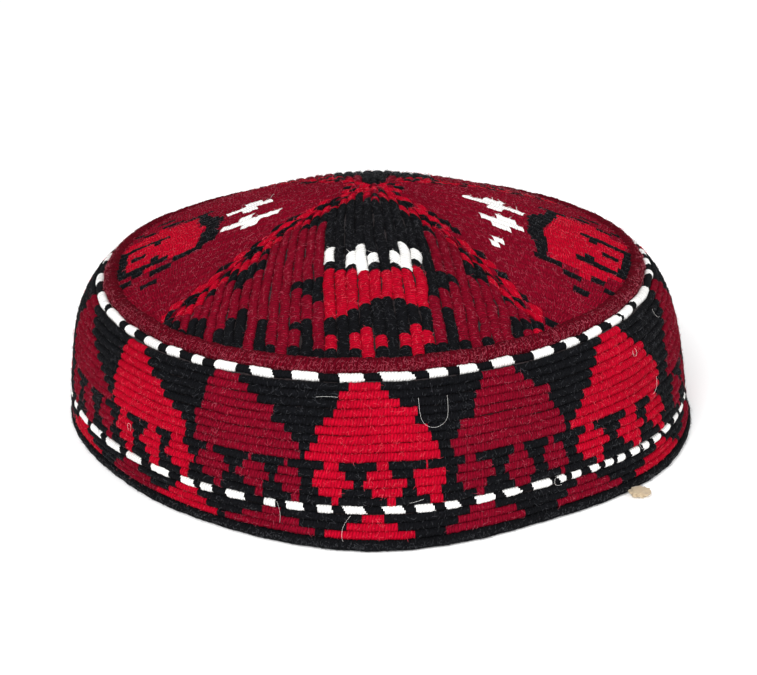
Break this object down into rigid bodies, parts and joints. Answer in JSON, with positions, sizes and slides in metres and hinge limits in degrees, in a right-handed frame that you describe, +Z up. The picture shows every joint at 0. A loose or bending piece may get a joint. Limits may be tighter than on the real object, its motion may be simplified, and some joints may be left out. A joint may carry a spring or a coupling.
{
  "type": "embroidered skullcap",
  "caption": "Domed skullcap: ribbed embroidered crown panels with mitred joins, a rolled piping, an upright ribbed side band with checked cords, and a bound hem.",
  "frame": {"origin": "on the floor, at the middle of the cap's footprint", "axes": "+Z up through the crown, +X to the wearer's left as the cap faces the viewer, and the front of the cap faces -Y"},
  "size_m": [0.1906, 0.1968, 0.0734],
  "materials": {
    "hem_binding": "black bound edge",
    "side_band": "corded thread, red, maroon and black",
    "checked_cord": "white thread with black checks",
    "crown_piping": "fuzzy wrapped thread, deep red",
    "crown": "corded thread, red, maroon, black and white",
    "lining_scrap": "raw cotton"
  },
  "bodies": {
    "root": {"hem_binding": "hem_binding", "side_band": "side_band", "lower_checked_cord": "checked_cord", "upper_checked_cord": "checked_cord", "crown_piping": "crown_piping", "crown_panel_front": "crown", "crown_panel_right": "crown", "crown_panel_back": "crown", "crown_panel_left": "crown", "lining_scrap": "lining_scrap"}
  },
  "joints": []
}
